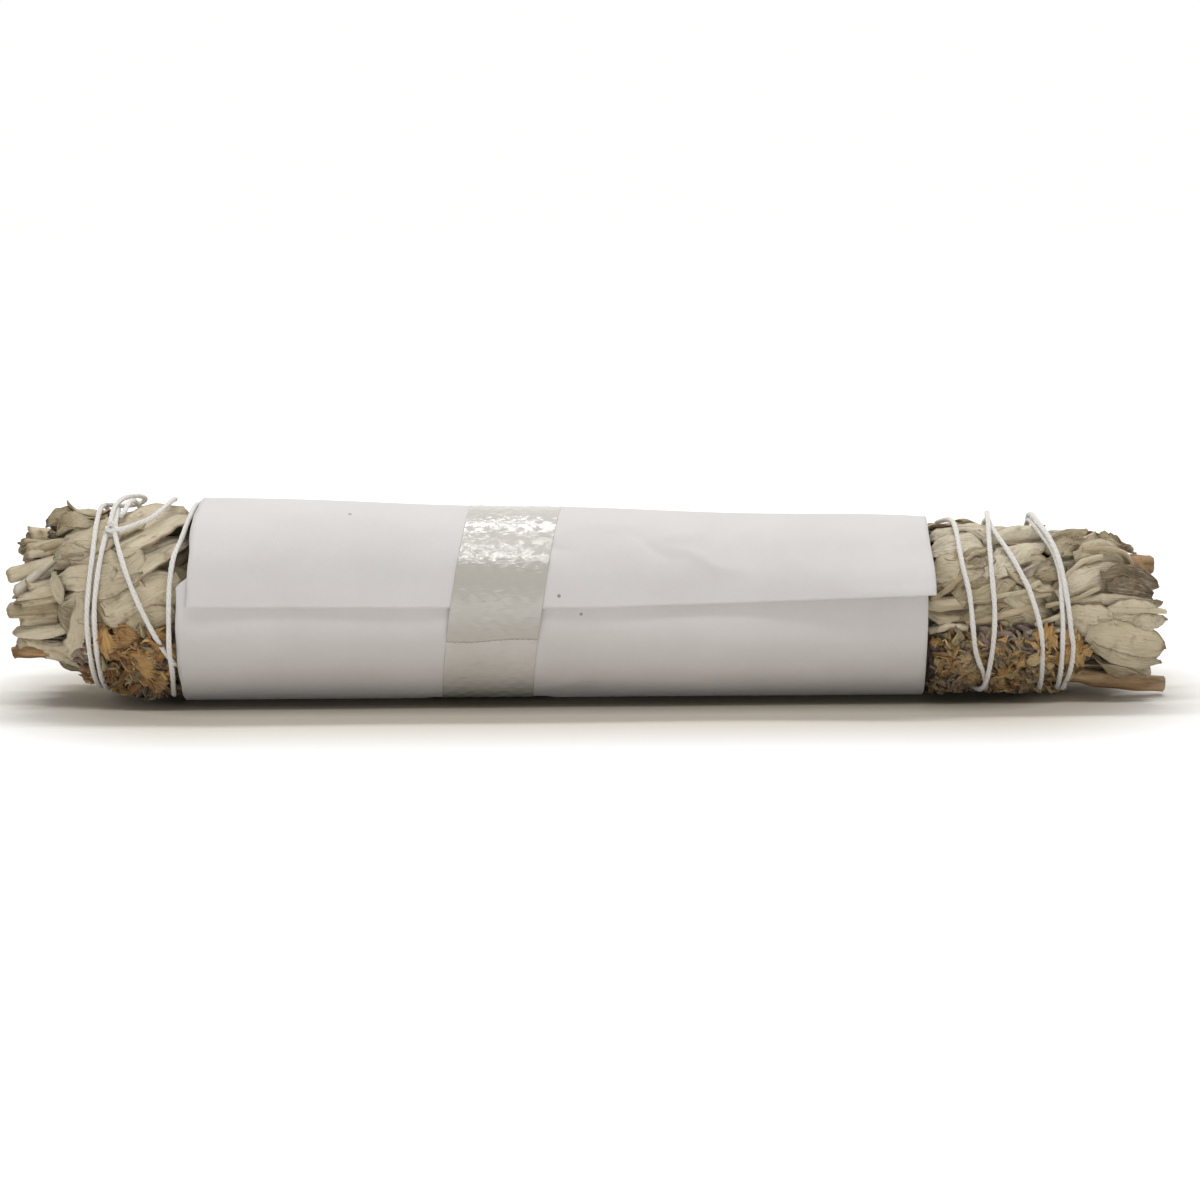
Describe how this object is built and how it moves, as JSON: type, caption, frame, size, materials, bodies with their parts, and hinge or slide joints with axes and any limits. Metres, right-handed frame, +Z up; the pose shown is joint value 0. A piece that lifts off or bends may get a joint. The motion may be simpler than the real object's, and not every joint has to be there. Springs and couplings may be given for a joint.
{
  "type": "dried sage and lavender bundle",
  "caption": "Dried white sage and lavender bundle lying on its side, bound crisscross with cotton string and rolled in a plain taped paper sleeve.",
  "frame": {"origin": "on the surface that the bundle lies on, under the middle of its bounding box", "axes": "+X along the bundle towards its open right end with the free flap and two thick stems, +Z up, -Y towards the front with the sleeve's flap edge"},
  "size_m": [0.2291, 0.0404, 0.0406],
  "materials": {
    "sage": "dried felted leaf, pale grey-green, matt",
    "stem": "dry cut herb stem, brown bark over pale wood, matt",
    "lavender": "dried purple-grey flower cups with tan papery bracts, matt",
    "cotton": "twisted white cotton string, matt",
    "paper": "plain pale grey-pink paper, matt, faint creases",
    "tape": "thin clear adhesive film, semi-gloss"
  },
  "bodies": {
    "root": {"sage_leaves": "sage", "stem_upper": "stem", "stem_lower": "stem", "stem_front": "stem", "stem_tan": "stem", "stem_thin": "stem", "stem_left": "stem", "lavender_left": "lavender", "lavender_right": "lavender", "binding_string": "cotton", "paper_sleeve": "paper", "clear_tape": "tape"}
  },
  "joints": []
}
